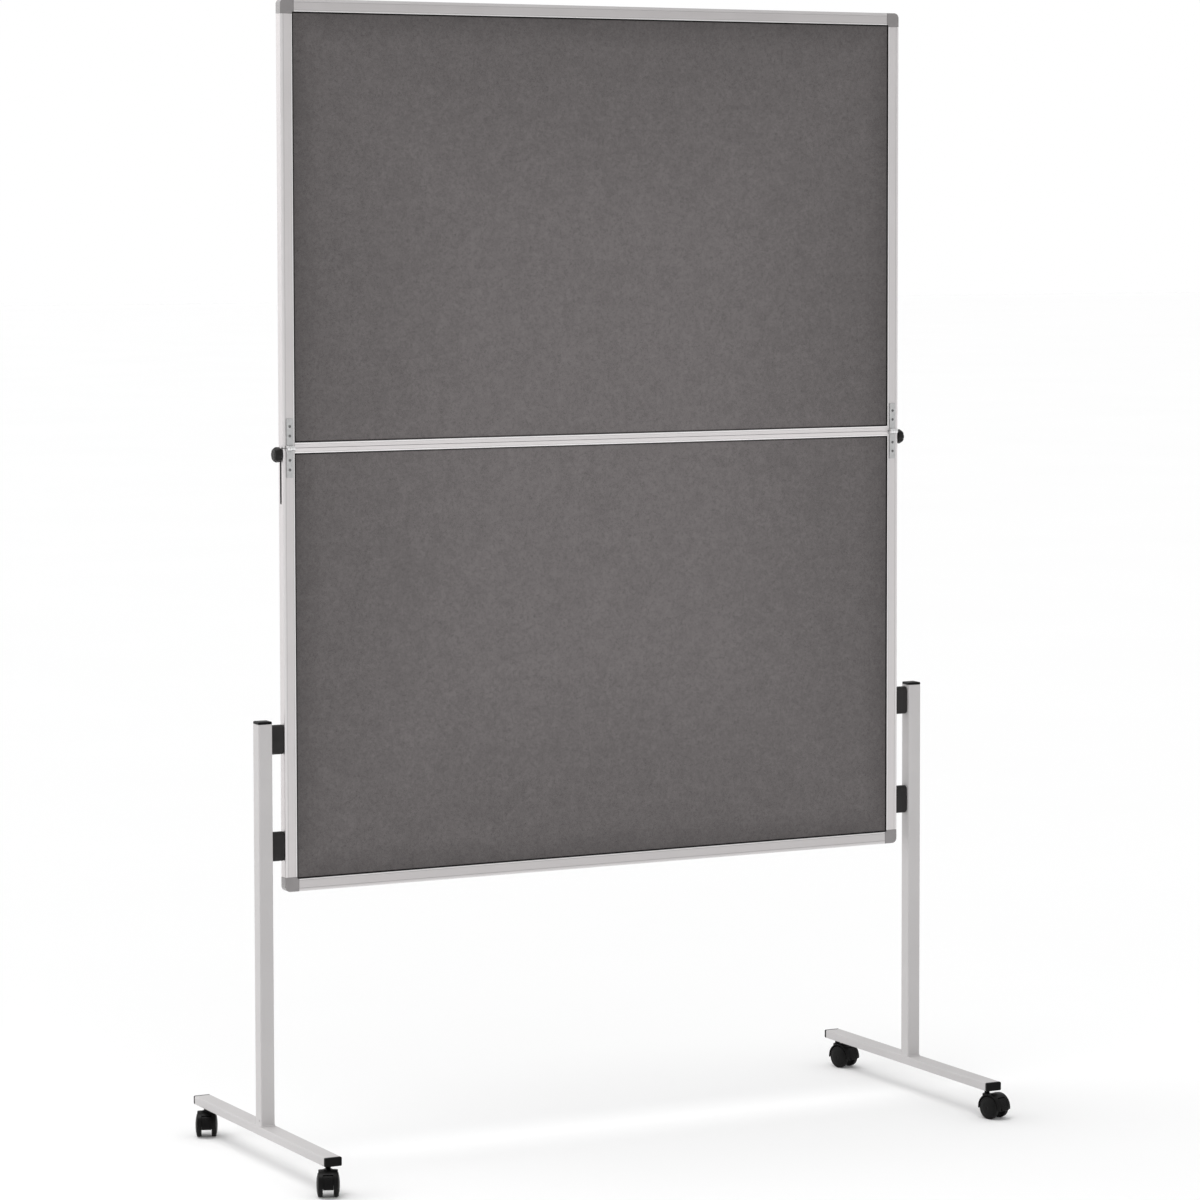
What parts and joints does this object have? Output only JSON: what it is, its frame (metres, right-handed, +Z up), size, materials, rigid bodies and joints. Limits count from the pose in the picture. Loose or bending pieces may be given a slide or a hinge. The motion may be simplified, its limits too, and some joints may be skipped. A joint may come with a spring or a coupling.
{
  "type": "rolling pinboard",
  "caption": "Tall folding pinboard with grey felt panels in a silver frame, on a stand of two T-shaped legs with small twin-wheel castors.",
  "frame": {"origin": "on the floor, under the middle of the board", "axes": "+Z up, +X to the right seen from the front, +Y to the back; the hinges are on the front"},
  "size_m": [1.33, 0.5969, 1.96],
  "materials": {
    "frame_aluminium": "silver anodised extrusion, satin, faint lengthwise drawing lines",
    "stand_paint": "light silver-grey powder coat, satin",
    "hinge_steel": "zinc-plated steel, satin",
    "grey_plastic": "moulded mid-grey plastic, fine texture",
    "black_plastic": "moulded black plastic, satin",
    "castor_plastic": "moulded black nylon, semi-gloss",
    "wheel_nylon": "moulded black nylon, satin",
    "grey_felt": "dense dark grey felt, mottled fibres",
    "core_board": "light soft board, hidden under the felt"
  },
  "bodies": {
    "root": {"lower_core": "core_board", "lower_felt_front": "grey_felt", "lower_felt_back": "grey_felt", "lower_rail_left": "frame_aluminium", "lower_rail_right": "frame_aluminium", "lower_rail_bottom": "frame_aluminium", "lower_fold_rail": "frame_aluminium", "corner_cap_lower_left": "grey_plastic", "corner_cap_lower_right": "grey_plastic", "hinge_lower_leaf_left": "hinge_steel", "hinge_lower_leaf_right": "hinge_steel", "upright_left": "stand_paint", "upright_right": "stand_paint", "upright_cap_left": "black_plastic", "upright_cap_right": "black_plastic", "foot_left": "stand_paint", "foot_right": "stand_paint", "foot_cap_left_front": "black_plastic", "foot_cap_left_rear": "black_plastic", "foot_cap_right_front": "black_plastic", "foot_cap_right_rear": "black_plastic", "spacer_left_lower": "black_plastic", "spacer_left_upper": "black_plastic", "spacer_right_lower": "black_plastic", "spacer_right_upper": "black_plastic", "castor_stem_left_front": "castor_plastic", "castor_stem_left_rear": "castor_plastic", "castor_stem_right_front": "castor_plastic", "castor_stem_right_rear": "castor_plastic"},
    "upper_panel": {"upper_core": "core_board", "upper_felt_front": "grey_felt", "upper_felt_back": "grey_felt", "upper_rail_left": "frame_aluminium", "upper_rail_right": "frame_aluminium", "upper_rail_top": "frame_aluminium", "upper_fold_rail": "frame_aluminium", "corner_cap_upper_left": "grey_plastic", "corner_cap_upper_right": "grey_plastic", "hinge_upper_leaf_left": "hinge_steel", "hinge_upper_leaf_right": "hinge_steel"},
    "lock_left": {"lock_bar_left": "hinge_steel"},
    "knob_left": {"lock_knob_left": "black_plastic"},
    "lock_right": {"lock_bar_right": "hinge_steel"},
    "knob_right": {"lock_knob_right": "black_plastic"},
    "castor_left_front": {"castor_hood_left_front": "castor_plastic"},
    "wheel_left_front_a": {"castor_wheel_left_front_a": "wheel_nylon"},
    "wheel_left_front_b": {"castor_wheel_left_front_b": "wheel_nylon"},
    "brake_left_front": {"brake_pedal_left_front": "castor_plastic"},
    "castor_left_rear": {"castor_hood_left_rear": "castor_plastic"},
    "wheel_left_rear_a": {"castor_wheel_left_rear_a": "wheel_nylon"},
    "wheel_left_rear_b": {"castor_wheel_left_rear_b": "wheel_nylon"},
    "brake_left_rear": {"brake_pedal_left_rear": "castor_plastic"},
    "castor_right_front": {"castor_hood_right_front": "castor_plastic"},
    "wheel_right_front_a": {"castor_wheel_right_front_a": "wheel_nylon"},
    "wheel_right_front_b": {"castor_wheel_right_front_b": "wheel_nylon"},
    "brake_right_front": {"brake_pedal_right_front": "castor_plastic"},
    "castor_right_rear": {"castor_hood_right_rear": "castor_plastic"},
    "wheel_right_rear_a": {"castor_wheel_right_rear_a": "wheel_nylon"},
    "wheel_right_rear_b": {"castor_wheel_right_rear_b": "wheel_nylon"},
    "brake_right_rear": {"brake_pedal_right_rear": "castor_plastic"}
  },
  "joints": [
    {"name": "panel_fold", "type": "hinge", "parent": "root", "child": "upper_panel", "pos_m": [0, -0.0149, 1.21], "axis": [1, 0, 0], "range_deg": [0, 180]},
    {"name": "lock_slide_left", "type": "slide", "parent": "root", "child": "lock_left", "axis": [0, 0, -1], "range_m": [0, 0.08]},
    {"name": "knob_turn_left", "type": "hinge", "parent": "lock_left", "child": "knob_left", "pos_m": [-0.6, 0, 1.199], "axis": [-1, 0, 0], "range_deg": [0, 360]},
    {"name": "lock_slide_right", "type": "slide", "parent": "root", "child": "lock_right", "axis": [0, 0, -1], "range_m": [0, 0.08]},
    {"name": "knob_turn_right", "type": "hinge", "parent": "lock_right", "child": "knob_right", "pos_m": [0.6, 0, 1.199], "axis": [1, 0, 0], "range_deg": [0, 360]},
    {"name": "swivel_left_front", "type": "hinge", "parent": "root", "child": "castor_left_front", "pos_m": [-0.636, -0.264, 0.045], "axis": [0, 0, 1], "continuous": true},
    {"name": "roll_left_front_a", "type": "hinge", "parent": "castor_left_front", "child": "wheel_left_front_a", "pos_m": [-0.64264, -0.27965, 0.02], "axis": [0.9205, -0.3907, 0], "continuous": true},
    {"name": "roll_left_front_b", "type": "hinge", "parent": "castor_left_front", "child": "wheel_left_front_b", "pos_m": [-0.64264, -0.27965, 0.02], "axis": [0.9205, -0.3907, 0], "continuous": true},
    {"name": "brake_left_front", "type": "hinge", "parent": "castor_left_front", "child": "brake_left_front", "pos_m": [-0.6496, -0.29604, 0.03548], "axis": [-0.9205, 0.3907, 0], "range_deg": [0, 20]},
    {"name": "swivel_left_rear", "type": "hinge", "parent": "root", "child": "castor_left_rear", "pos_m": [-0.636, 0.264, 0.045], "axis": [0, 0, 1], "continuous": true},
    {"name": "roll_left_rear_a", "type": "hinge", "parent": "castor_left_rear", "child": "wheel_left_rear_a", "pos_m": [-0.64264, 0.24835, 0.02], "axis": [0.9205, -0.3907, 0], "continuous": true},
    {"name": "roll_left_rear_b", "type": "hinge", "parent": "castor_left_rear", "child": "wheel_left_rear_b", "pos_m": [-0.64264, 0.24835, 0.02], "axis": [0.9205, -0.3907, 0], "continuous": true},
    {"name": "brake_left_rear", "type": "hinge", "parent": "castor_left_rear", "child": "brake_left_rear", "pos_m": [-0.6496, 0.23196, 0.03548], "axis": [-0.9205, 0.3907, 0], "range_deg": [0, 20]},
    {"name": "swivel_right_front", "type": "hinge", "parent": "root", "child": "castor_right_front", "pos_m": [0.636, -0.264, 0.045], "axis": [0, 0, 1], "continuous": true},
    {"name": "roll_right_front_a", "type": "hinge", "parent": "castor_right_front", "child": "wheel_right_front_a", "pos_m": [0.64069, -0.28034, 0.02], "axis": [0.9613, 0.2756, 0], "continuous": true},
    {"name": "roll_right_front_b", "type": "hinge", "parent": "castor_right_front", "child": "wheel_right_front_b", "pos_m": [0.64069, -0.28034, 0.02], "axis": [0.9613, 0.2756, 0], "continuous": true},
    {"name": "brake_right_front", "type": "hinge", "parent": "castor_right_front", "child": "brake_right_front", "pos_m": [0.6456, -0.29746, 0.03548], "axis": [-0.9613, -0.2756, 0], "range_deg": [0, 20]},
    {"name": "swivel_right_rear", "type": "hinge", "parent": "root", "child": "castor_right_rear", "pos_m": [0.636, 0.264, 0.045], "axis": [0, 0, 1], "continuous": true},
    {"name": "roll_right_rear_a", "type": "hinge", "parent": "castor_right_rear", "child": "wheel_right_rear_a", "pos_m": [0.64069, 0.24766, 0.02], "axis": [0.9613, 0.2756, 0], "continuous": true},
    {"name": "roll_right_rear_b", "type": "hinge", "parent": "castor_right_rear", "child": "wheel_right_rear_b", "pos_m": [0.64069, 0.24766, 0.02], "axis": [0.9613, 0.2756, 0], "continuous": true},
    {"name": "brake_right_rear", "type": "hinge", "parent": "castor_right_rear", "child": "brake_right_rear", "pos_m": [0.6456, 0.23054, 0.03548], "axis": [-0.9613, -0.2756, 0], "range_deg": [0, 20]}
  ]
}
